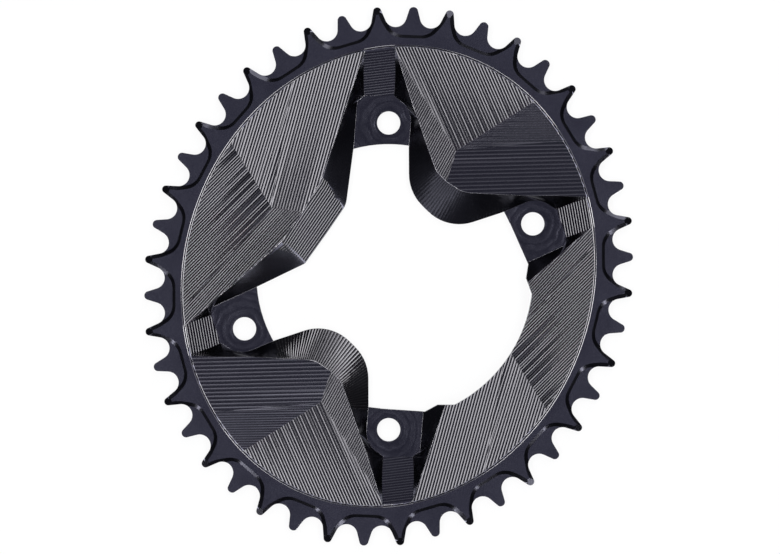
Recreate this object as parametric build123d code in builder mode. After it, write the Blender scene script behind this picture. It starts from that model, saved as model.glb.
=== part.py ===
"""Oval narrow-wide bicycle chainring, milled from one aluminium plate.

The ring lies on its back face at z = 0 with its outer face up. The origin is the centre of the bolt
circle and +X points along the crank arm.
"""

import os
from math import cos, pi, radians, sin, sqrt, tan

from build123d import *

# Chain and oval
chain_pitch = 12.7
tooth_count = 44
ovality = 1.13
timing_angle = 108.0

# Teeth
seat_radius = 3.95
flank_angle = 21.0
narrow_tip_height = 3.2
wide_tip_height = 3.65
tip_round_depth = 0.95
band_thickness = 3.9
narrow_thickness = 2.1
wide_tip_width = 0.8
wide_tip_thickness = 2.3
wide_bevel_start = 0.95
relief_depth_inside_pitch = 8.0
relief_floor_width = 14.1
relief_lead = 0.6
relief_flank_corner = (0.4, 0.1)
front_relief_rounding = (13.0, 7.0)
back_relief_rounding = (0.0, 0.0)
relief_wall_run = 1.1
relief_flank_run = 1.9

# Band between the teeth and the facets
band_width_at_long_axis = 11.35
band_width_at_short_axis = 10.75
groove_width = 0.9
groove_depth = 0.35

# Bolt tabs
bolt_circle_radius = 55.0
narrow_gap = 70.0
bolt_hole_diameter = 8.35
tab_thickness = 2.5
tab_inner_reach = 7.6
pocket_radius = 8.3
pocket_reach = 9.76
ramp_narrow_edge = 1.97
ramp_wide_edge = 8.6
pocket_wide_edge = 12.6
ramp_slope = 4.85
ramp_skew = 7.5
ramp_tuck = 1.0

# Opening for the crank arm
arm_inset = 3.3
arm_rim = 2.5
arm_edge = [(-7.6, 3.0), (-6.5, -13.0), (-9.0, -17.5), (-9.0, -24.0)]
arm_spread = 15.0

# Faceted body
narrow_ridge_height = 7.7
wide_ridge_height = 7.1
ridge_cap = 0.5
skin = 2.0
back_rim = 3.0

# Everything but the teeth is drawn with one bolt hole straight up, 35 degrees from the crank arm.
drawing_angle = narrow_gap / 2
drawing = Plane.XY.rotated((0, 0, drawing_angle))
top_tab = 90.0
right_tab = top_tab - narrow_gap
left_tab = right_tab + 180.0
bottom_tab = top_tab + 180.0
tabs = (right_tab, top_tab, left_tab, bottom_tab)
oval_angle = timing_angle - drawing_angle
tab_inner_radius = bolt_circle_radius - tab_inner_reach
arm_radius = bolt_circle_radius - arm_inset

# Pitch oval: as many chain pitches around as there are teeth
axis_ratio = 1 / ovality
unit_perimeter = pi * (3 * (1 + axis_ratio) - sqrt((3 + axis_ratio) * (1 + 3 * axis_ratio)))
pitch_long = tooth_count * chain_pitch / unit_perimeter
pitch_short = pitch_long * axis_ratio
facet_long = pitch_long - band_width_at_long_axis
facet_short = pitch_short - band_width_at_short_axis
mid_height = band_thickness / 2
far_out = 2 * pitch_long


class Station:
    """A place on the pitch oval, counted in half pitches from the long axis."""

    def __init__(self, half_pitches):
        share = (half_pitches / (2 * tooth_count)) % 1
        self.spot = pitch_oval.position_at(share)
        self.along = pitch_oval.tangent_at(share)
        self.outward = self.along.rotate(Axis.Z, -90)

    def at(self, height, along=0.0):
        return self.spot + self.outward * height + self.along * along


pitch_oval = Edge.make_ellipse(pitch_long, pitch_short, Plane.XY.rotated((0, 0, timing_angle)))
seats = [Station(2 * i) for i in range(tooth_count)]
teeth = [Station(2 * i + 1) for i in range(tooth_count)]


def flank_end(seat, tooth, side, tip_height):
    """The two ends of a tooth's straight flank, between its roller seat and its round tip."""
    lean = radians(flank_angle)
    start = seat.at(-seat_radius * sin(lean), side * seat_radius * cos(lean))
    direction = seat.outward * cos(lean) + seat.along * (side * sin(lean))
    rise = (tooth.at(tip_height - tip_round_depth) - start).dot(tooth.outward)
    return start, start + direction * (rise / direction.dot(tooth.outward))


def relief_outline(index, height, share, rounding):
    """The hollow around one narrow tooth, between two wide ones: its rim at share 0, its floor at share 1."""
    narrow = teeth[index]
    before = teeth[index - 1]
    after = teeth[(index + 1) % tooth_count]
    reach = 2 * wide_tip_height
    inset = share * relief_wall_run
    flank_inset = share * relief_flank_run
    half_tip = wide_tip_width / 2 + flank_inset
    corner_height, corner_away = relief_flank_corner
    floor_height = inset - relief_depth_inside_pitch
    half_floor = (relief_floor_width - inset) / 2
    corners = [
        before.at(reach, half_tip),
        before.at(corner_height + inset / 2, corner_away + flank_inset),
        narrow.at(floor_height, relief_lead - half_floor),
        narrow.at(floor_height, relief_lead + half_floor),
        after.at(corner_height + inset / 2, -corner_away - flank_inset),
        after.at(reach, -half_tip),
    ]
    flank, floor = [max(radius - inset, 0) for radius in rounding]
    with BuildSketch(Plane.XY.offset(height)) as outline:
        with BuildLine():
            FilletPolyline(*corners, radius=[0, flank, floor, floor, flank, 0], close=True)
        make_face()
    return outline.sketch


def tip_bevel(tooth, top):
    """The wedge that thins a wide tooth towards its tip, from the front or from the back."""
    rise = wide_tip_height - wide_bevel_start
    fall = (band_thickness - wide_tip_thickness) / 2
    face_height = band_thickness if top else 0.0
    away = Vector(0, 0, 1) if top else Vector(0, 0, -1)
    foot = tooth.at(wide_bevel_start) + Vector(0, 0, face_height)
    with BuildSketch(Plane(foot, x_dir=tooth.outward, z_dir=tooth.outward.cross(away))) as wedge:
        with BuildLine():
            Polyline((0, 0), (2 * rise, -2 * fall), (2 * rise, fall), (0, fall), close=True)
        make_face()
    return extrude(wedge.sketch, amount=chain_pitch / 2, both=True)


def oval_face(height, grow=0.0):
    """The oval where the facets meet the band, grown or shrunk, at a height."""
    with BuildSketch(drawing.offset(height)) as face:
        Ellipse(facet_long + grow, facet_short + grow, rotation=oval_angle)
    return face.sketch


def from_hole(tab, outward, across):
    """A drawing point measured from a bolt hole: outward from the centre and across, anticlockwise."""
    angle = radians(tab)
    x = (bolt_circle_radius + outward) * cos(angle) - across * sin(angle)
    y = (bolt_circle_radius + outward) * sin(angle) + across * cos(angle)
    return (x, y)


def on_oval(angle):
    """The drawing point on the facets' oval in a direction from the centre."""
    turn = radians(angle - oval_angle)
    reach = 1 / sqrt((cos(turn) / facet_long) ** 2 + (sin(turn) / facet_short) ** 2)
    return (reach * cos(radians(angle)), reach * sin(radians(angle)))


class Facet:
    """A flat of the body: a drawing point, its height, the uphill direction and the slope in degrees."""

    def __init__(self, point, height, uphill, slope):
        self.point = point
        self.height = height
        self.gradient = Vector(cos(radians(uphill)), sin(radians(uphill))) * tan(radians(slope))

    def height_at(self, point):
        step = Vector(point[0] - self.point[0], point[1] - self.point[1])
        return self.height + step.dot(self.gradient)

    def plane(self, drop=0.0):
        normal = Vector(-self.gradient.X, -self.gradient.Y, 1)
        origin = Vector(self.point[0], self.point[1], self.height - drop)
        return Plane(origin.rotate(Axis.Z, drawing_angle), z_dir=normal.rotate(Axis.Z, drawing_angle))


# Narrow sector, between the two tabs that are close together
narrow_low_point = on_oval(50.3)
narrow_knot = (23.9, 45.1)
side_facet = Facet(narrow_low_point, band_thickness, 203.7, 4.8)
brink_facet = Facet(narrow_knot, side_facet.height_at(narrow_knot), 205.8, 6.6)
steep_facet = Facet(narrow_low_point, band_thickness, 272.5, 9.5)
ledge_facet = Facet(narrow_knot, steep_facet.height_at(narrow_knot), 270.0, 4.8)
narrow_roof = [[side_facet], [brink_facet], [steep_facet, ledge_facet]]

# Wide sector, between two tabs that are far apart
wide_low_point = on_oval(139.8)
wide_knot = (-42.2, 24.2)
slow_facet = Facet(wide_low_point, band_thickness, 315.8, 3.9)
upper_facet = Facet(wide_low_point, band_thickness, 343.0, 5.0)
flank_facet = Facet(wide_knot, upper_facet.height_at(wide_knot), 344.0, 5.8)
rim_facet = Facet(wide_knot, slow_facet.height_at(wide_knot), 317.0, 7.0)
wide_roof = [[slow_facet], [upper_facet], [flank_facet], [rim_facet]]

# Each corner of a sector: its foot, the ridge above it, and the rounding of each.
narrow_corners = [
    (from_hole(top_tab, 34.0, -ramp_narrow_edge), from_hole(top_tab, 34.0, 0.0), 0, 0),
    (from_hole(top_tab, pocket_reach, -ramp_narrow_edge), from_hole(top_tab, 9.8, -7.9), 0, 0),
    (from_hole(top_tab, 4.4, -pocket_radius), from_hole(top_tab, 1.0, -10.8), 8.0, 2.0),
    (from_hole(top_tab, -9.0, -7.2), from_hole(top_tab, -9.0, -14.1), 0, 0),
    ((7.3, 30.0), (16.8, 37.8), 16.0, 4.0),
    ((21.0, 16.4), (26.7, 29.4), 16.0, 8.0),
    (from_hole(right_tab, -9.0, 7.6), from_hole(right_tab, -9.0, 14.2), 0, 0),
    (from_hole(right_tab, 4.4, pocket_radius), from_hole(right_tab, 1.0, 10.3), 8.0, 2.0),
    (from_hole(right_tab, pocket_reach, ramp_narrow_edge), from_hole(right_tab, 9.8, 6.9), 0, 0),
    (from_hole(right_tab, 27.0, ramp_narrow_edge), from_hole(right_tab, 27.0, 0.2), 0, 0),
]
wide_corners = [
    (from_hole(left_tab, 27.0, -ramp_wide_edge), from_hole(left_tab, 27.0, -5.4), 0, 0),
    (from_hole(left_tab, pocket_reach, -ramp_wide_edge), from_hole(left_tab, 9.8, -12.1), 0, 0),
    (from_hole(left_tab, 7.7, -11.3), from_hole(left_tab, 5.0, -14.0), 0, 0),
    (from_hole(left_tab, -9.0, -pocket_wide_edge), from_hole(left_tab, -9.0, -19.5), 0, 0),
    ((-30.0, 4.6), (-38.3, 12.7), 2.5, 4.0),
    ((-22.0, 15.8), (-32.2, 22.1), 2.0, 2.0),
    ((-15.3, 25.6), (-23.9, 34.2), 8.0, 8.0),
    (from_hole(top_tab, -9.0, pocket_wide_edge), from_hole(top_tab, -9.0, 20.0), 0, 0),
    (from_hole(top_tab, 7.7, 11.3), from_hole(top_tab, 5.0, 15.3), 0, 0),
    (from_hole(top_tab, pocket_reach, ramp_wide_edge), from_hole(top_tab, 9.8, 13.7), 0, 0),
    (from_hole(top_tab, 34.0, ramp_wide_edge), from_hole(top_tab, 34.0, 5.6), 0, 0),
]
far_narrow = (24, 55, 86)
far_wide = (94, 145, 196)


def far_points(angles):
    """Drawing points well outside the part, in the given directions."""
    return [(far_out * cos(radians(angle)), far_out * sin(radians(angle))) for angle in angles]


def outline_face(points, radii, height):
    """A closed outline with its own rounding at each corner."""
    with BuildSketch(drawing.offset(height)) as face:
        with BuildLine():
            FilletPolyline(*points, radius=radii, close=True)
        make_face()
    return face.sketch


def under_roof(body, roof, drop=0.0):
    """What is left of a body below the highest flat of a roof; flats listed together cut together."""
    with BuildPart() as kept:
        for flats in roof:
            piece = body
            for flat in flats:
                piece = split(piece, bisect_by=flat.plane(drop), keep=Keep.BOTTOM, mode=Mode.PRIVATE)
            add(piece)
    return kept.part


def sector(corners, roof, ridge_height, far_angles):
    """One raised stretch of the body, walled from its feet up to its ridge and cut by its flats."""
    feet = [Vector(*corner[0]) for corner in corners]
    ridges = [Vector(*corner[1]) for corner in corners]
    wall_height = ridge_height - tab_thickness
    stretch = (wall_height + ridge_cap) / wall_height
    tops = [foot + (ridge - foot) * stretch for foot, ridge in zip(feet, ridges)]
    outside = far_points(far_angles)
    sharp = [0] * len(outside)
    foot_radii = [corner[2] for corner in corners] + sharp
    top_radii = [corner[3] for corner in corners] + sharp
    with BuildPart() as walls:
        extrude(outline_face(feet + outside, foot_radii, 0), amount=tab_thickness)
        low = outline_face(feet + outside, foot_radii, tab_thickness)
        high = outline_face(tops + outside, top_radii, ridge_height + ridge_cap)
        loft([low, high], ruled=True)
    return under_roof(walls.part, roof)


def back_recess(corners, roof, far_angles):
    """The hollow milled from behind, which leaves an even skin under the flats."""
    ridges = [Vector(*corner[1]) for corner in corners]
    outside = far_points(far_angles)
    with BuildPart() as hollow:
        with BuildSketch(drawing):
            Polygon(*ridges, *outside, align=None)
            offset(amount=-back_rim, kind=Kind.INTERSECTION)
            Ellipse(facet_long - back_rim, facet_short - back_rim, rotation=oval_angle, mode=Mode.INTERSECT)
        extrude(amount=narrow_ridge_height)
    return under_roof(hollow.part, roof, skin)


def ramp(tab, side):
    """The slope from the band down to the floor of a bolt tab."""
    floor_line = Facet(from_hole(tab, pocket_reach, 0), tab_thickness, tab + side * ramp_skew, ramp_slope)
    reach = facet_long - bolt_circle_radius
    edges = (side * (ramp_wide_edge + ramp_tuck), -side * (ramp_narrow_edge + ramp_tuck))
    inner = [from_hole(tab, pocket_reach, across) for across in edges]
    outer = [from_hole(tab, reach, across) for across in reversed(edges)]
    with BuildPart() as slope:
        with BuildSketch(drawing):
            Polygon(*inner, *outer, align=None)
        extrude(amount=band_thickness)
        split(bisect_by=floor_line.plane(), keep=Keep.BOTTOM)
    return slope.part


half_turn = Rotation(0, 0, 180)
narrow_sector = sector(narrow_corners, narrow_roof, narrow_ridge_height, far_narrow)
wide_sector = sector(wide_corners, wide_roof, wide_ridge_height, far_wide)
narrow_recess = back_recess(narrow_corners, narrow_roof, far_narrow)
wide_recess = back_recess(wide_corners, wide_roof, far_wide)
top_ramp = ramp(top_tab, 1)
right_ramp = ramp(right_tab, -1)

# Raised body inside the band
with BuildPart() as body:
    extrude(oval_face(0), amount=tab_thickness)
    with BuildSketch(drawing):
        Circle(tab_inner_radius)
    extrude(amount=tab_thickness, mode=Mode.SUBTRACT)
    for raised in (narrow_sector, wide_sector, top_ramp, right_ramp):
        add(raised)
        add(half_turn * raised)
    extrude(oval_face(0), amount=2 * narrow_ridge_height, mode=Mode.INTERSECT)

# Toothed plate
relief_depth = (band_thickness - narrow_thickness) / 2
cuts = []
for i in range(1, tooth_count, 2):
    front_floor = relief_outline(i, band_thickness - relief_depth, 1, front_relief_rounding)
    cuts.append(loft([front_floor, relief_outline(i, band_thickness, 0, front_relief_rounding)], ruled=True))
    cuts.append(extrude(relief_outline(i, 0, 0, back_relief_rounding), amount=relief_depth))
for tooth in teeth[::2]:
    cuts.append(tip_bevel(tooth, True))
    cuts.append(tip_bevel(tooth, False))

with BuildPart() as plate:
    with BuildSketch():
        with BuildLine():
            for i in range(tooth_count):
                tooth = teeth[i]
                tip_height = wide_tip_height if i % 2 == 0 else narrow_tip_height
                seat_end, rise_end = flank_end(seats[i], tooth, 1, tip_height)
                next_seat = seats[(i + 1) % tooth_count]
                next_start, fall_start = flank_end(next_seat, tooth, -1, tip_height)
                seat_start = flank_end(seats[i], tooth, -1, tip_height)[0]
                ThreePointArc(seat_start, seats[i].at(-seat_radius), seat_end)
                Line(seat_end, rise_end)
                ThreePointArc(rise_end, tooth.at(tip_height), fall_start)
                Line(fall_start, next_start)
        make_face()
    extrude(amount=band_thickness)
    add(cuts, mode=Mode.SUBTRACT)
    extrude(oval_face(0), amount=band_thickness, mode=Mode.SUBTRACT)

# Hollow behind the stretch that the crank arm's opening cuts short
with BuildPart() as arm_recess:
    add(half_turn * wide_recess)
    with BuildSketch(drawing):
        Circle(arm_radius + arm_rim)
    extrude(amount=2 * narrow_ridge_height, mode=Mode.SUBTRACT)

# Groove around the facets
with BuildPart() as groove:
    middle = oval_face(band_thickness - groove_depth, groove_width / 2)
    loft([middle, oval_face(band_thickness, groove_width)], ruled=True)
    loft([middle, oval_face(band_thickness, 0)], ruled=True, mode=Mode.SUBTRACT)

with BuildPart() as chainring:
    add(plate.part)
    add(body.part)
    # Opening for the crank arm, with a nose beside each of its two tabs
    arm_corners = far_points((arm_spread - drawing_angle, -arm_spread - drawing_angle))
    right_side = [from_hole(right_tab, out, across) for out, across in arm_edge]
    bottom_side = [from_hole(bottom_tab, out, -across) for out, across in reversed(arm_edge)]
    with BuildSketch(drawing):
        Polygon((0, 0), *right_side, *arm_corners, *bottom_side, align=None)
        Circle(arm_radius, mode=Mode.INTERSECT)
    extrude(amount=2 * narrow_ridge_height, mode=Mode.SUBTRACT)
    # Hollows behind the four raised stretches
    add([narrow_recess, wide_recess, half_turn * narrow_recess, arm_recess.part], mode=Mode.SUBTRACT)
    # Bolt holes
    with BuildSketch(drawing):
        with Locations([from_hole(tab, 0, 0) for tab in tabs]):
            Circle(bolt_hole_diameter / 2)
    extrude(amount=tab_thickness, mode=Mode.SUBTRACT)
    add(groove.part, mode=Mode.SUBTRACT)

chainring.part.label = "chainring"
os.makedirs("parts", exist_ok=True)
export_step(chainring.part, "parts/chainring.step")
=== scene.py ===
"""Looks of the oval chainring: cutter tracks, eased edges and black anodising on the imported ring."""

from math import atan2, ceil, cos, degrees, floor, hypot, pi, radians, sin, tan

import bmesh
import bpy
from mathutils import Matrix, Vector


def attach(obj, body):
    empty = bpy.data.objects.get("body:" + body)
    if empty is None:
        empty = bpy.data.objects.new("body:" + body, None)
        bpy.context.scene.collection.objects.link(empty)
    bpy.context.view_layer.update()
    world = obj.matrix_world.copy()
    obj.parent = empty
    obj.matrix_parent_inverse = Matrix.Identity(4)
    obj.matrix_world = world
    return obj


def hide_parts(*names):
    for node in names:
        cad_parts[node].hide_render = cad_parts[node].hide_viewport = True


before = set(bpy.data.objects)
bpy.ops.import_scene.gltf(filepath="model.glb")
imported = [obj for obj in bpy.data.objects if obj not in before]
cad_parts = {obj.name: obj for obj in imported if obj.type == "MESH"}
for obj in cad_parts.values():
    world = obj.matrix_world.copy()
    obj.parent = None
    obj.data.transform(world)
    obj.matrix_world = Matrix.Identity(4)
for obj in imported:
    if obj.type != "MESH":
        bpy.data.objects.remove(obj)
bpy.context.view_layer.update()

MM = 0.001
DRAWING_TURN = 35.0


def heading(angle):
    """A direction on the ring's face, from its angle in the photograph."""
    turn = radians(angle + DRAWING_TURN)
    return Vector((cos(turn), sin(turn), 0))


RIGHT = heading(0)
UP = heading(90)


def spot(x, y):
    """A place on the ring's face, from millimetres right of and above the bolt circle's centre."""
    return RIGHT * (x * MM) + UP * (y * MM)


def drawn(co):
    """How many millimetres a point lies right of and above the bolt circle's centre."""
    return co.dot(RIGHT) / MM, co.dot(UP) / MM


# ---------------------------------------------------------------- sizes, in millimetres

TAB_HEIGHT = 2.5
BAND_HEIGHT = 3.9
GROOVE_WIDTH = 0.9
GROOVE_BOTTOM = 3.55
GROOVE_CUTS = (0.45, 0.7)
GROOVE_DEPTH = 0.06
GROOVE_ROUNDNESS = 4
GROOVE_LEANS = (0.3, 0.95)
GROOVE_EASE = 0.10
GROOVE_EASE_STEPS = 2
GROOVE_RIM_REACH = 0.03
GROOVE_STRIP_GAP = 0.01
PITCH_LONG = 94.45
PITCH_SHORT = 83.55
TIP_START = 0.95
TIP_SLOPE = tan(radians(30))
NARROW_TOP = 3.0
BOLT_CIRCLE = 55.0
OVAL_LONG = 83.1
OVAL_SHORT = 72.8
OVAL_ANGLE = 73.0
INSIDE_OVAL = -0.05
EDGE_EASE = 0.06
EDGE_EASE_STEPS = 2
EASED_ANGLE = radians(24)
EASED_LEAN = 0.4
RIM_EASE = 0.16
RIM_EASE_STEPS = 3
RIM_ANGLE = radians(13)
RIM_LEAN = 0.5
SHARP_ANGLE = radians(14)
SOFT_ANGLE = radians(45)

# Finishes, as material slots of the skin; several paint shade and highlights into the colour
SATIN, MILLED, POCKET, EDGE, PAINTED_HIGHLIGHT, PAINTED_SHADE, CREST_HIGHLIGHTS, SHADED = range(8)

# Flats of the outer face: uphill direction, slope, track direction, spacing and depth, how deep every
# second track is beside the first, and the finish, which paints highlights on the crests, and for some
# flats shade
FLATS = {
    "side": (203.7, 4.8, 113.8, 1.00, 0.048, 0.95, MILLED),
    "brink": (205.8, 6.6, 61.0, 0.84, 0.016, 1.0, MILLED),
    "steep": (272.5, 9.5, 1.0, 0.87, 0.044, 1.0, SHADED),
    "ledge": (270.0, 4.8, 1.5, 1.37, 0.022, 1.0, SHADED),
    "slow": (315.8, 3.9, 44.5, 0.84, 0.059, 1.0, CREST_HIGHLIGHTS),
    "upper": (343.0, 5.0, 73.0, 1.02, 0.052, 0.92, MILLED),
    "flank": (344.0, 5.8, 74.5, 1.02, 0.050, 0.92, MILLED),
    "rim": (317.0, 7.0, 46.8, 0.82, 0.019, 1.0, CREST_HIGHLIGHTS),
    "upright_ramp": (97.5, 4.85, 7.0, 0.93, 0.036, 1.0, SHADED),
    "level_ramp": (12.5, 4.85, 100.0, 0.92, 0.050, 1.0, CREST_HIGHLIGHTS),
}
FLAT_TOLERANCE = radians(0.25)
SMALLEST_FLAT = 1e-6
TRACK_CUTS = 4
UNEVENNESS = 0.05
SCATTER = (12.9898, 43758.5453)
BORDER = 0.12
CREST_SHARE = 0.99

# Wall of a narrow stretch: its foot and its ridge, from the upper bolt tab round to the right one
FAN_FEET = [
    (1.97, 89.0), (1.97, 64.76), (8.3, 59.4), (7.2, 46.0), (7.3, 30.0),
    (21.0, 16.4), (40.63, 22.87), (52.98, 28.12), (60.18, 24.0), (76.38, 29.9),
]
FAN_RIDGES = [
    (0.0, 89.0), (7.9, 64.8), (10.8, 56.0), (14.1, 46.0), (16.8, 37.8),
    (26.7, 29.4), (38.37, 29.08), (49.1, 28.83), (58.53, 28.65), (76.99, 28.23),
]
FAN_SPACING = 1.2
FAN_DEPTH = 0.085
CALM_FAN_DEPTH = 0.035
FAN_STEEPEST = 40
FAN_SWEEP = 70
FAN_HALVINGS = 20
FAN_REACH = 0.9

# Wall of the wide stretch at the left, cut in level layers between two angles
LAYER_HEIGHT = 0.34
LAYER_DEPTH = 0.040
LAYER_STEEPEST = 27
LAYERS_FROM = 123.5
LAYERS_TO = 165.5

# What counts as wall: clear of the groove, above the tabs, and steeper than a flat
WALL_OVAL_GAP = -0.5
WALL_TAB_GAP = 0.1
WALL_LEAST_SLOPE = 12
SMALLEST_WALL = 1e-8

# Plain surfaces: level pockets at the tabs' height, and the steep walls, which get painted shade
POCKET_GAP = 0.02
POCKET_LEAN = 0.99
STEEP_LEANS = (0.3, 0.93)

# Distances at which points count as one, in metres, and the bend at which two faces count as one flat
MERGE_DISTANCE = 2e-6
CUT_DISTANCE = 1e-8
FLAT_BEND = radians(0.05)


# ---------------------------------------------------------------- mesh

def ring_copy(node):
    """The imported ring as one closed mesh, with each flat as one face."""
    bm = bmesh.new()
    bm.from_mesh(node.data)
    bmesh.ops.remove_doubles(bm, verts=bm.verts, dist=MERGE_DISTANCE)
    bmesh.ops.dissolve_limit(bm, angle_limit=FLAT_BEND, verts=bm.verts, edges=bm.edges)
    return bm


LONG_WAY = heading(OVAL_ANGLE)
SHORT_WAY = heading(OVAL_ANGLE + 90)
NEAR = 1e-6


def beyond(co, long_half, short_half):
    """How many millimetres a point lies outside an oval."""
    share = hypot(co.dot(LONG_WAY) / (long_half * MM), co.dot(SHORT_WAY) / (short_half * MM))
    return hypot(co.x, co.y) / MM * (1 - 1 / share)


def beyond_oval(co):
    """How many millimetres a point lies outside the oval where the flats meet the band."""
    return beyond(co, OVAL_LONG, OVAL_SHORT)


def cut_tracks(bm, faces, place_of, plane_at, levels):
    """Cuts faces along a family of planes, and tells where each point lies across the family."""
    place = {}
    for face in faces:
        for vert in face.verts:
            if vert not in place:
                place[vert] = place_of(vert.co)
    waiting = list(faces)
    done = []
    for level in levels:
        ahead = []
        crossed = []
        for face in waiting:
            marks = [place[v] for v in face.verts]
            if max(marks) <= level + NEAR:
                done.append(face)
            elif min(marks) < level - NEAR:
                crossed.append(face)
            else:
                ahead.append(face)
        if crossed:
            edges = {e for f in crossed for e in f.edges}
            verts = {v for f in crossed for v in f.verts}
            point, normal = plane_at(level)
            cut = bmesh.ops.bisect_plane(
                bm, geom=crossed + list(edges) + list(verts), dist=CUT_DISTANCE,
                plane_co=point, plane_no=normal,
            )
            for face in cut["geom"]:
                if isinstance(face, bmesh.types.BMFace):
                    ahead.append(face)
                    for vert in face.verts:
                        place.setdefault(vert, level)
        waiting = ahead
    return done + waiting, place


def levels_between(place, cuts):
    """The levels of all cuts that a set of places spans, with so many cuts to one track."""
    low = min(place)
    high = max(place)
    return [count / cuts for count in range(ceil(low * cuts), floor(high * cuts) + 1)]


def scallop(place):
    """Depth of a ball cutter's track, from 0 at its edges to 1 at its middle."""
    share = place % 1
    return 1 - (2 * share - 1) ** 2


def round_groove(bm):
    """Turns the groove around the flats into the shallow round one that a ball cutter leaves."""
    low = GROOVE_BOTTOM * MM
    height = (BAND_HEIGHT - GROOVE_BOTTOM) * MM
    walls = []
    for face in bm.faces:
        heights = [v.co.z for v in face.verts]
        leaning = GROOVE_LEANS[0] < face.normal.z < GROOVE_LEANS[1]
        if leaning and min(heights) > low - NEAR and max(heights) < low + height + NEAR:
            if 0 < beyond_oval(face.calc_center_median()) < GROOVE_WIDTH:
                walls.append(face)

    def place_of(co):
        return (co.z - low) / height

    def plane_at(level):
        return Vector((0, 0, low + level * height)), Vector((0, 0, 1))

    faces, place = cut_tracks(bm, walls, place_of, plane_at, GROOVE_CUTS)
    for vert, share in place.items():
        share = min(max(share, 0.0), 1.0)
        vert.co.z = (BAND_HEIGHT - GROOVE_DEPTH * (1 - share ** GROOVE_ROUNDNESS)) * MM
    bm.normal_update()
    return faces, place


def thin_tips(bm):
    """Leans the wide teeth's tips further, so that they end about as thin as the narrow ones."""
    for vert in bm.verts:
        out = beyond(vert.co, PITCH_LONG, PITCH_SHORT) - TIP_START
        if out > 0 and vert.co.z > NARROW_TOP * MM:
            vert.co.z = min(vert.co.z, (BAND_HEIGHT - out * TIP_SLOPE) * MM)
    bm.normal_update()


def rim_edges(bm):
    """The ridges of the outer side."""
    found = []
    for edge in bm.edges:
        if len(edge.link_faces) != 2 or not edge.is_convex or edge.calc_face_angle(0.0) < RIM_ANGLE:
            continue
        middle = (edge.verts[0].co + edge.verts[1].co) / 2
        upward = min(f.normal.z for f in edge.link_faces) > RIM_LEAN
        if upward and middle.z > TAB_HEIGHT * MM and beyond_oval(middle) < INSIDE_OVAL:
            found.append(edge)
    return found


def groove_edges(bm):
    """The two rims of the groove."""
    found = []
    for edge in bm.edges:
        if edge.is_convex and min(f.normal.z for f in edge.link_faces) > RIM_LEAN:
            out = [beyond_oval(v.co) for v in edge.verts]
            away = min(max(abs(o) for o in out), max(abs(o - GROOVE_WIDTH) for o in out))
            if away < GROOVE_RIM_REACH and edge.calc_face_angle(0.0) > RIM_ANGLE:
                found.append(edge)
    return found


def sharp_edges(bm):
    """The outlines, holes and steps; the hollows between the teeth stay crisp."""
    found = []
    for edge in bm.edges:
        if edge.calc_face_angle(0.0) > EASED_ANGLE:
            upward = min(f.normal.z for f in edge.link_faces) > EASED_LEAN
            if not upward or beyond_oval((edge.verts[0].co + edge.verts[1].co) / 2) < INSIDE_OVAL:
                found.append(edge)
    return found


def ease(bm, edges, offset, segments):
    """Rounds edges, as the maker's brush does before anodising."""
    made = bmesh.ops.bevel(
        bm, geom=edges, offset=offset * MM, offset_type="OFFSET", segments=segments, profile=0.5,
        affect="EDGES", material=-1, clamp_overlap=False,
    )
    return made["faces"]


def flat_faces(bm, uphill, slope):
    """The faces of one flat of the outer side, known by its tilt."""
    normal = (Vector((0, 0, 1)) - heading(uphill) * tan(radians(slope))).normalized()
    found = [f for f in bm.faces if f.normal.angle(normal, pi) < FLAT_TOLERANCE]
    return [f for f in found if f.calc_area() > SMALLEST_FLAT]


class Fan:
    """The tracks across a narrow stretch's wall, which run from its ridge down to its foot."""

    def __init__(self, side):
        self.feet = [Vector(p) * side for p in FAN_FEET]
        self.ridges = [Vector(p) * side for p in FAN_RIDGES]
        self.places = {}
        self.starts = [0.0]
        for a, b in zip(self.feet, self.feet[1:]):
            self.starts.append(self.starts[-1] + (b - a).length / FAN_SPACING)

    def ruling(self, level):
        """Foot and ridge of the line at a place along the wall."""
        i = 0
        while i < len(self.starts) - 2 and level > self.starts[i + 1]:
            i += 1
        share = (level - self.starts[i]) / (self.starts[i + 1] - self.starts[i])
        return self.feet[i].lerp(self.feet[i + 1], share), self.ridges[i].lerp(self.ridges[i + 1], share)

    def beside(self, level, point):
        """How far beside a line a point lies, and how far up it from the foot."""
        foot, ridge = self.ruling(level)
        way = ridge - foot
        off = point - foot
        return way.x * off.y - way.y * off.x, off.dot(way) / way.dot(way)

    def place_of(self, co):
        """The place along the wall whose line runs through a point; None off the wall."""
        key = co.to_tuple(8)
        if key not in self.places:
            self.places[key] = self.solve(Vector(drawn(co)))
        return self.places[key]

    def solve(self, point):
        """The place of the line that runs through a point, nearest the middle of the wall."""
        best = None
        for a, b in zip(self.starts, self.starts[1:]):
            low, high = a, b
            at_low = self.beside(low, point)[0]
            if at_low * self.beside(high, point)[0] > 0:
                continue
            for _ in range(FAN_HALVINGS):
                middle = (low + high) / 2
                if self.beside(middle, point)[0] * at_low > 0:
                    low = middle
                else:
                    high = middle
            reach = abs(self.beside(low, point)[1] - 0.5)
            if reach < FAN_REACH and (best is None or reach < best[0]):
                best = (reach, low)
        return best[1] if best else None

    def plane_at(self, level):
        """The upright plane through the line at a place."""
        foot, ridge = self.ruling(level)
        way = ridge - foot
        return spot(foot.x, foot.y), (RIGHT * -way.y + UP * way.x).normalized()


def wall_faces(bm, zone, first_angle, last_angle, most_slope):
    """The sloping faces between a stretch's ridge and its foot, within a sweep of angles."""
    found = []
    for face in bm.faces:
        centre = face.calc_center_median()
        low = centre.z < (TAB_HEIGHT + WALL_TAB_GAP) * MM
        if face[zone] or low or beyond_oval(centre) > WALL_OVAL_GAP:
            continue
        if not cos(radians(most_slope)) < face.normal.z < cos(radians(WALL_LEAST_SLOPE)):
            continue
        x, y = drawn(centre)
        if first_angle < degrees(atan2(y, x)) % 360 < last_angle and face.calc_area() > SMALLEST_WALL:
            found.append(face)
    return found


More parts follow.
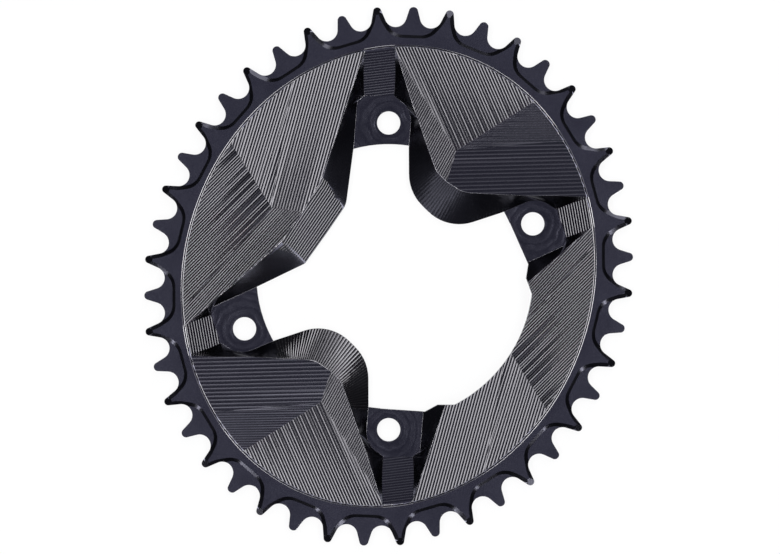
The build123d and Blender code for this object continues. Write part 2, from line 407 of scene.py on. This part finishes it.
bm = ring_copy(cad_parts["chainring"])
zone = bm.faces.layers.int.new("zone")
crest = bm.verts.layers.float.new("crest")
GROOVE_ZONE, RIM_ZONE, EDGE_ZONE, FIRST_TRACKS = 1, 2, 3, 4

groove, heights = round_groove(bm)
for face in groove:
    near_rim = max(heights[v] for v in face.verts) > GROOVE_CUTS[0] + GROOVE_STRIP_GAP
    face[zone] = RIM_ZONE if near_rim else GROOVE_ZONE
thin_tips(bm)
for face in ease(bm, groove_edges(bm), GROOVE_EASE, GROOVE_EASE_STEPS):
    face[zone] = RIM_ZONE
for face in ease(bm, rim_edges(bm), RIM_EASE, RIM_EASE_STEPS):
    face[zone] = EDGE_ZONE
for face in ease(bm, sharp_edges(bm), EDGE_EASE, EDGE_EASE_STEPS):
    face[zone] = EDGE_ZONE

drops = {}
crests = {}
# The groove's middle gets painted shade, its rims a painted highlight, and the eased edges a lighter,
# partly painted colour.
finishes = {GROOVE_ZONE: PAINTED_SHADE, RIM_ZONE: PAINTED_HIGHLIGHT, EDGE_ZONE: EDGE}
next_zone = FIRST_TRACKS


def pass_depth(level, alternate):
    """How deep the cutter ran in one pass, which differs a little from pass to pass."""
    count = floor(level)
    stray = 2 * ((sin(count * SCATTER[0]) * SCATTER[1]) % 1) - 1
    return (alternate if count % 2 else 1.0) * (1 + UNEVENNESS * stray)


def lay_tracks(faces, place_of, plane_at, depth, alternate=1.0, finish=CREST_HIGHLIGHTS):
    """Cuts one family of tracks into faces and notes how far each point sinks."""
    global next_zone
    finishes[next_zone] = finish
    for face in faces:
        face[zone] = next_zone
    spans = [place_of(v.co) for f in faces for v in f.verts]
    place = cut_tracks(bm, faces, place_of, plane_at, levels_between(spans, TRACK_CUTS))[1]
    for vert, level in place.items():
        drops.setdefault(vert, []).append(depth * MM * scallop(level) * pass_depth(level, alternate))
        crests.setdefault(vert, []).append(1 - scallop(level))
    next_zone += 1


def straight_tracks(along, spacing):
    """Where points lie across straight tracks, and the plane at a place across them."""
    across = heading(along + 90)

    def place_of(co):
        return co.dot(across) / (spacing * MM)

    def plane_at(level):
        return across * (level * spacing * MM), across

    return place_of, plane_at


for uphill, slope, along, spacing, depth, alternate, finish in FLATS.values():
    for turn in (0, 180):
        place_of, plane_at = straight_tracks(along, spacing)
        faces = flat_faces(bm, uphill + turn, slope)
        border = bmesh.ops.inset_region(
            bm, faces=faces, thickness=BORDER * MM, depth=0.0,
            use_boundary=True, use_even_offset=True,
        )
        lay_tracks(faces + border["faces"], place_of, plane_at, depth, alternate, finish)

# The calm fan wall gets painted shade; the other is milled, with painted crest highlights.
FANS = ((1, 20, CALM_FAN_DEPTH, PAINTED_SHADE), (-1, 200, FAN_DEPTH, MILLED))
for side, first_angle, depth, finish in FANS:
    fan = Fan(side)
    walls = wall_faces(bm, zone, first_angle, first_angle + FAN_SWEEP, FAN_STEEPEST)
    walls = [f for f in walls if all(fan.place_of(v.co) is not None for v in f.verts)]
    lay_tracks(walls, fan.place_of, fan.plane_at, depth, finish=finish)


def layer_place(co):
    """Which layer a point lies in."""
    return (co.z / MM - TAB_HEIGHT) / LAYER_HEIGHT


def layer_plane(level):
    """The level plane at a layer's edge."""
    return Vector((0, 0, (TAB_HEIGHT + level * LAYER_HEIGHT) * MM)), Vector((0, 0, 1))


walls = wall_faces(bm, zone, LAYERS_FROM, LAYERS_TO, LAYER_STEEPEST)
lay_tracks(walls, layer_place, layer_plane, LAYER_DEPTH)

for vert, depths in drops.items():
    vert.co.z -= sum(depths) / len(depths)
for vert, shares in crests.items():
    vert[crest] = sum(shares) / len(shares)
bm.normal_update()


def finish_of(face):
    """The finish of a face: by its zone, and elsewhere by its height and lean."""
    if face[zone]:
        return finishes[face[zone]]
    height = face.calc_center_median().z / MM
    if abs(height - TAB_HEIGHT) < POCKET_GAP and face.normal.z > POCKET_LEAN:
        return POCKET
    # Steep walls get painted shade.
    if STEEP_LEANS[0] < face.normal.z < STEEP_LEANS[1] and height > TAB_HEIGHT:
        return PAINTED_SHADE
    return SATIN


for face in bm.faces:
    face.smooth = True
    face.material_index = finish_of(face)
for edge in bm.edges:
    zones = {f[zone] for f in edge.link_faces}
    angle = edge.calc_face_angle(0.0)
    if zones <= {GROOVE_ZONE, RIM_ZONE, EDGE_ZONE}:
        edge.smooth = angle < SOFT_ANGLE
    else:
        on_crest = min(v[crest] for v in edge.verts) > CREST_SHARE
        edge.smooth = angle < SHARP_ANGLE and len(zones) == 1 and not on_crest

mesh = bpy.data.meshes.new("ring_skin")
bm.to_mesh(mesh)
bm.free()
ring = bpy.data.objects.new("ring_skin", mesh)
bpy.context.scene.collection.objects.link(ring)


# ---------------------------------------------------------------- materials

HOLE_X = 31.55
HOLE_Y = 45.05
WOBBLE = 4.0
WOBBLE_SCALE = 160.0
WEAR_GLINT_CONTRAST = 7.0
CLOUD_RANGE = (-0.6, 1.6)
GRAIN_HEIGHT = 0.000004


def new_node(tree, kind, **settings):
    made = tree.nodes.new(kind)
    for name, value in settings.items():
        setattr(made, name, value)
    return made


def new_group(name, inputs, outputs):
    """An empty node group with number inputs, which have defaults, and number outputs."""
    tree = bpy.data.node_groups.new(name, "ShaderNodeTree")
    for label, value in inputs.items():
        socket = tree.interface.new_socket(label, in_out="INPUT", socket_type="NodeSocketFloat")
        socket.default_value = value
    for label in outputs:
        tree.interface.new_socket(label, in_out="OUTPUT", socket_type="NodeSocketFloat")
    return tree, tree.nodes.new("NodeGroupInput"), tree.nodes.new("NodeGroupOutput")


def maths(tree, operation, first, second=None, third=None):
    """A sum on up to three values, each a socket or a number."""
    made = new_node(tree, "ShaderNodeMath", operation=operation)
    for slot, value in enumerate((first, second, third)):
        if isinstance(value, bpy.types.NodeSocket):
            tree.links.new(value, made.inputs[slot])
        elif value is not None:
            made.inputs[slot].default_value = value
    return made.outputs[0]


def anodised_grain():
    """Fine etched grain, and the cloudy depth of colour that dyed anodising has."""
    scales = {"Grain Scale": 2200.0, "Cloud Scale": 70.0}
    tree, given, result = new_group("anodised_grain", scales, ("Grain", "Cloud"))
    place = tree.nodes.new("ShaderNodeTexCoord").outputs["Object"]
    for scale, detail, out in (("Grain Scale", 2.0, "Grain"), ("Cloud Scale", 4.0, "Cloud")):
        noise = new_node(tree, "ShaderNodeTexNoise")
        noise.inputs["Detail"].default_value = detail
        tree.links.new(place, noise.inputs["Vector"])
        tree.links.new(given.outputs[scale], noise.inputs["Scale"])
        tree.links.new(noise.outputs["Fac"], result.inputs[out])
    return tree


def tool_rings():
    """The rings that the pocket cutter leaves around each bolt hole."""
    tree, given, result = new_group("tool_rings", {"Spacing": 0.0026}, ("Rings",))
    place = tree.nodes.new("ShaderNodeTexCoord").outputs["Object"]
    parts = tree.nodes.new("ShaderNodeSeparateXYZ")
    noise = new_node(tree, "ShaderNodeTexNoise")
    noise.inputs["Scale"].default_value = WOBBLE_SCALE
    noise.inputs["Detail"].default_value = 2.0
    tree.links.new(place, parts.inputs[0])
    tree.links.new(place, noise.inputs["Vector"])
    across = maths(tree, "SUBTRACT", maths(tree, "ABSOLUTE", parts.outputs["X"]), HOLE_X * MM)
    along = maths(tree, "SUBTRACT", maths(tree, "ABSOLUTE", parts.outputs["Y"]), HOLE_Y * MM)
    squares = maths(tree, "MULTIPLY_ADD", across, across, maths(tree, "MULTIPLY", along, along))
    wobble = maths(tree, "MULTIPLY", noise.outputs["Fac"], WOBBLE * MM)
    distance = maths(tree, "ADD", maths(tree, "SQRT", squares), wobble)
    turns = maths(tree, "MULTIPLY", maths(tree, "DIVIDE", distance, given.outputs["Spacing"]), 2 * pi)
    wave = maths(tree, "MULTIPLY_ADD", maths(tree, "SINE", turns), 0.5, 0.5)
    tree.links.new(maths(tree, "MULTIPLY", wave, noise.outputs["Fac"]), result.inputs["Rings"])
    return tree


def edge_wear_and_glints():
    """Lighter spots along an edge: partly bare metal where the anodising has rubbed through, partly
    painted glints.
    """
    tree, given, result = new_group("edge_wear_and_glints", {"Scale": 900.0, "Share": 0.5}, ("Wear And Glint",))
    place = tree.nodes.new("ShaderNodeTexCoord").outputs["Object"]
    noise = new_node(tree, "ShaderNodeTexNoise")
    noise.inputs["Detail"].default_value = 3.0
    tree.links.new(place, noise.inputs["Vector"])
    tree.links.new(given.outputs["Scale"], noise.inputs["Scale"])
    whole = maths(tree, "SUBTRACT", 1.0, given.outputs["Share"])
    over = maths(tree, "SUBTRACT", noise.outputs["Fac"], whole)
    wear_glint = maths(tree, "MULTIPLY", over, WEAR_GLINT_CONTRAST)
    wear_glint.node.use_clamp = True
    tree.links.new(wear_glint, result.inputs["Wear And Glint"])
    return tree


GRAIN = anodised_grain()
RINGS = tool_rings()
WEAR_AND_GLINTS = edge_wear_and_glints()


def placed(tree, group, **values):
    """A node group placed in a material with its own values."""
    made = new_node(tree, "ShaderNodeGroup", node_tree=group)
    for label, value in values.items():
        made.inputs[label.replace("_", " ")].default_value = value
    return made


def blend(tree, share, first, second):
    """A colour between two; each is a colour or a socket."""
    made = new_node(tree, "ShaderNodeMix", data_type="RGBA")
    tree.links.new(share, made.inputs[0])
    for slot, colour in ((6, first), (7, second)):
        if isinstance(colour, bpy.types.NodeSocket):
            tree.links.new(colour, made.inputs[slot])
        else:
            made.inputs[slot].default_value = (*colour, 1)
    return made.outputs[2]


def spread(tree, value, low, high):
    """A value between 0 and 1 spread over a range."""
    made = new_node(tree, "ShaderNodeMapRange")
    made.inputs["To Min"].default_value = low
    made.inputs["To Max"].default_value = high
    tree.links.new(value, made.inputs["Value"])
    return made.outputs["Result"]


def anodised(name, dark, light, smooth, rough, rings=None, wear_and_glints=None, ridges=None):
    """Black anodised aluminium: two depths of dye, two roughnesses, this surface's own marks, and where
    asked a painted highlight that lightens the tracks' crests.
    """
    mat = bpy.data.materials.new(name)
    mat.use_nodes = True
    tree = mat.node_tree
    shader = tree.nodes["Principled BSDF"]
    shader.inputs["Metallic"].default_value = 1.0
    grain = placed(tree, GRAIN)
    cloud = spread(tree, grain.outputs["Cloud"], *CLOUD_RANGE)
    colour = blend(tree, cloud, dark, light)
    polish = spread(tree, grain.outputs["Grain"], smooth, rough)
    height = maths(tree, "MULTIPLY", grain.outputs["Grain"], GRAIN_HEIGHT)
    if rings:
        marks = placed(tree, RINGS).outputs["Rings"]
        height = maths(tree, "MULTIPLY_ADD", marks, rings[0], height)
        polish = maths(tree, "MULTIPLY_ADD", marks, rings[1], polish)
    # Lighter spots along edges: partly bare metal rubbed through, partly painted glints.
    if wear_and_glints:
        wear_glint = placed(tree, WEAR_AND_GLINTS, Share=wear_and_glints[0]).outputs["Wear And Glint"]
        colour = blend(tree, wear_glint, colour, wear_and_glints[1])
    # Painted highlight: the colour lightens toward each track's crest, where the lamps' glints fall.
    if ridges:
        share = new_node(tree, "ShaderNodeAttribute", attribute_name="crest").outputs["Fac"]
        colour = blend(tree, maths(tree, "POWER", share, ridges[0]), colour, ridges[1])
    bump = tree.nodes.new("ShaderNodeBump")
    bump.inputs["Distance"].default_value = 1.0
    tree.links.new(height, bump.inputs["Height"])
    tree.links.new(colour, shader.inputs["Base Color"])
    tree.links.new(polish, shader.inputs["Roughness"])
    tree.links.new(bump.outputs["Normal"], shader.inputs["Normal"])
    return mat


mesh.materials.append(anodised(
    "satin_anodise", (0.094, 0.094, 0.120), (0.130, 0.130, 0.160), 0.16, 0.24,
))
# Milled tracks: the crests carry a painted highlight.
mesh.materials.append(anodised(
    "milled_anodise", (0.044, 0.043, 0.048), (0.058, 0.057, 0.062), 0.14, 0.20,
    ridges=(1.0, (0.165, 0.162, 0.171)),
))
mesh.materials.append(anodised(
    "pocket_anodise", (0.056, 0.056, 0.074), (0.088, 0.088, 0.110), 0.16, 0.24,
    rings=(0.000100, 0.06),
))
# Eased edges: the lighter colour is a painted highlight, and the lighter spots are partly rubbed-through
# metal, partly painted glints.
mesh.materials.append(anodised(
    "edge_anodise", (0.110, 0.108, 0.122), (0.150, 0.147, 0.160), 0.18, 0.26,
    wear_and_glints=(0.52, (0.30, 0.295, 0.305)),
))
# Painted highlight on the groove's rims, which draws the bright double line round the flats.
mesh.materials.append(anodised(
    "painted_highlight_anodise", (0.270, 0.266, 0.275), (0.320, 0.315, 0.324), 0.16, 0.22,
))
# Painted shade on the groove's middle, the steep walls and the calm fan wall.
mesh.materials.append(anodised(
    "painted_shade_anodise", (0.030, 0.030, 0.038), (0.042, 0.042, 0.052), 0.18, 0.28,
))
# Painted shade in the tracks' valleys and a painted highlight on their crests.
mesh.materials.append(anodised(
    "crest_highlights_anodise", (0.014, 0.014, 0.018), (0.022, 0.022, 0.028), 0.14, 0.20,
    ridges=(1.8, (0.200, 0.197, 0.204)),
))
# Painted shade: a darker copy of the milled finish for flats the lamps light less, with a painted
# highlight on the crests.
mesh.materials.append(anodised(
    "shaded_anodise", (0.050, 0.050, 0.064), (0.068, 0.068, 0.085), 0.14, 0.20,
    ridges=(1.0, (0.115, 0.114, 0.130)),
))
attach(ring, "root")
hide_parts("chainring")


# ---------------------------------------------------------------- studio

FLOOR_GREY = 0.9
FLOOR_GLOW = 0.9
FLOOR_HALF = 20.0
FLOOR_DROP = 0.0003


def floor_material():
    """A pale floor that looks mostly white to the camera and in the metal."""
    mat = bpy.data.materials.new("pale_floor")
    mat.use_nodes = True
    tree = mat.node_tree
    tree.nodes.clear()
    out = tree.nodes.new("ShaderNodeOutputMaterial")
    mix = tree.nodes.new("ShaderNodeMixShader")
    lit = tree.nodes.new("ShaderNodeBsdfDiffuse")
    white = tree.nodes.new("ShaderNodeEmission")
    path = tree.nodes.new("ShaderNodeLightPath")
    lit.inputs["Color"].default_value = (FLOOR_GREY, FLOOR_GREY, FLOOR_GREY, 1)
    white.inputs["Strength"].default_value = 1.0
    seen = maths(tree, "MAXIMUM", path.outputs["Is Camera Ray"], path.outputs["Is Glossy Ray"])
    shown = maths(tree, "MAXIMUM", seen, path.outputs["Is Transmission Ray"])
    tree.links.new(maths(tree, "MULTIPLY", shown, FLOOR_GLOW), mix.inputs["Fac"])
    tree.links.new(lit.outputs["BSDF"], mix.inputs[1])
    tree.links.new(white.outputs["Emission"], mix.inputs[2])
    tree.links.new(mix.outputs["Shader"], out.inputs["Surface"])
    return mat


bm = bmesh.new()
bmesh.ops.create_grid(bm, x_segments=1, y_segments=1, size=FLOOR_HALF)
bmesh.ops.translate(bm, verts=bm.verts, vec=(0, 0, -FLOOR_DROP))
floor_mesh = bpy.data.meshes.new("floor")
bm.to_mesh(floor_mesh)
bm.free()
floor_piece = bpy.data.objects.new("floor", floor_mesh)
bpy.context.scene.collection.objects.link(floor_piece)
floor_mesh.materials.append(floor_material())


def softbox(name, angle, from_vertical, distance, width, tall, radiance):
    """An area lamp beside the ring, aimed at its middle."""
    lamp = bpy.data.lights.new(name, "AREA")
    lamp.shape = "RECTANGLE"
    lamp.size = width
    lamp.size_y = tall
    lamp.energy = radiance * pi * width * tall
    piece = bpy.data.objects.new(name, lamp)
    bpy.context.scene.collection.objects.link(piece)
    lean = radians(from_vertical)
    place = heading(angle) * (distance * sin(lean)) + Vector((0, 0, distance * cos(lean)))
    piece.location = place
    piece.rotation_euler = (-place).to_track_quat("-Z", "Y").to_euler()


# Angle round the ring, degrees from overhead, width, height and brightness; all stand at one distance
LAMP_DISTANCE = 1.2
LAMPS = {
    "left_softbox": (180, 26, 1.5, 0.337, 4.7),
    "right_softbox": (0, 26, 1.5, 0.337, 4.3),
    "low_softbox": (270, 23, 0.5, 0.27, 1.6),
    "high_softbox": (90, 23, 0.5, 0.24, 0.6),
    "far_softbox": (70, 56, 0.4, 0.73, 5.0),
    "left_strip": (232, 72, 0.12, 0.4, 16.0),
    "right_strip": (312, 72, 0.12, 0.4, 16.0),
}
for name, (angle, from_vertical, width, tall, radiance) in LAMPS.items():
    softbox(name, angle, from_vertical, LAMP_DISTANCE, width, tall, radiance)

world = bpy.data.worlds.new("studio")
world.use_nodes = True
tree = world.node_tree
back = tree.nodes["Background"]
way = tree.nodes.new("ShaderNodeTexCoord")
parts = tree.nodes.new("ShaderNodeSeparateXYZ")
ramp = tree.nodes.new("ShaderNodeValToRGB")
tree.links.new(way.outputs["Generated"], parts.inputs["Vector"])
tree.links.new(parts.outputs["Z"], ramp.inputs["Fac"])
tree.links.new(ramp.outputs["Color"], back.inputs["Color"])
# Brightness of the studio by the height above the floor, from 0 at the horizon to 1 overhead
SKY = (
    (0.0, (0.92, 0.92, 0.92)), (0.045, (0.92, 0.92, 0.92)),
    (0.075, (0.06, 0.06, 0.07)), (0.5, (0.06, 0.06, 0.07)),
    (0.766, (0.22, 0.22, 0.26)), (0.906, (0.36, 0.36, 0.41)), (0.9455, (0.36, 0.36, 0.41)),
    (0.980, (0.17, 0.17, 0.23)), (0.992, (0.13, 0.13, 0.195)), (1.0, (0.13, 0.13, 0.195)),
)
stops = ramp.color_ramp.elements
stops[0].position, stops[0].color = SKY[0][0], (*SKY[0][1], 1)
stops[1].position, stops[1].color = SKY[-1][0], (*SKY[-1][1], 1)
for position, colour in SKY[1:-1]:
    stops.new(position).color = (*colour, 1)
bpy.context.scene.world = world

# The photograph in pixels: its width, its middle, and the bolt circle's centre and radius in it
IMAGE_WIDTH = 780
IMAGE_MIDDLE = (390, 277)
CIRCLE_CENTRE = (388.68, 276.3)
CIRCLE_PIXELS = 153.2
MM_PER_PIXEL = BOLT_CIRCLE / CIRCLE_PIXELS
CAMERA_HEIGHT = 2.0
SENSOR_WIDTH = 36.0
camera_data = bpy.data.cameras.new("camera")
camera_data.sensor_width = SENSOR_WIDTH
camera_data.lens = SENSOR_WIDTH * CAMERA_HEIGHT / (IMAGE_WIDTH * MM_PER_PIXEL * MM)
camera = bpy.data.objects.new("camera", camera_data)
bpy.context.scene.collection.objects.link(camera)
middle_x = (IMAGE_MIDDLE[0] - CIRCLE_CENTRE[0]) * MM_PER_PIXEL
middle_y = (CIRCLE_CENTRE[1] - IMAGE_MIDDLE[1]) * MM_PER_PIXEL
camera.location = spot(middle_x, middle_y) + Vector((0, 0, CAMERA_HEIGHT))
camera.rotation_euler = (0, 0, radians(DRAWING_TURN))
bpy.context.scene.camera = camera
bpy.context.scene.view_settings.view_transform = "Standard"
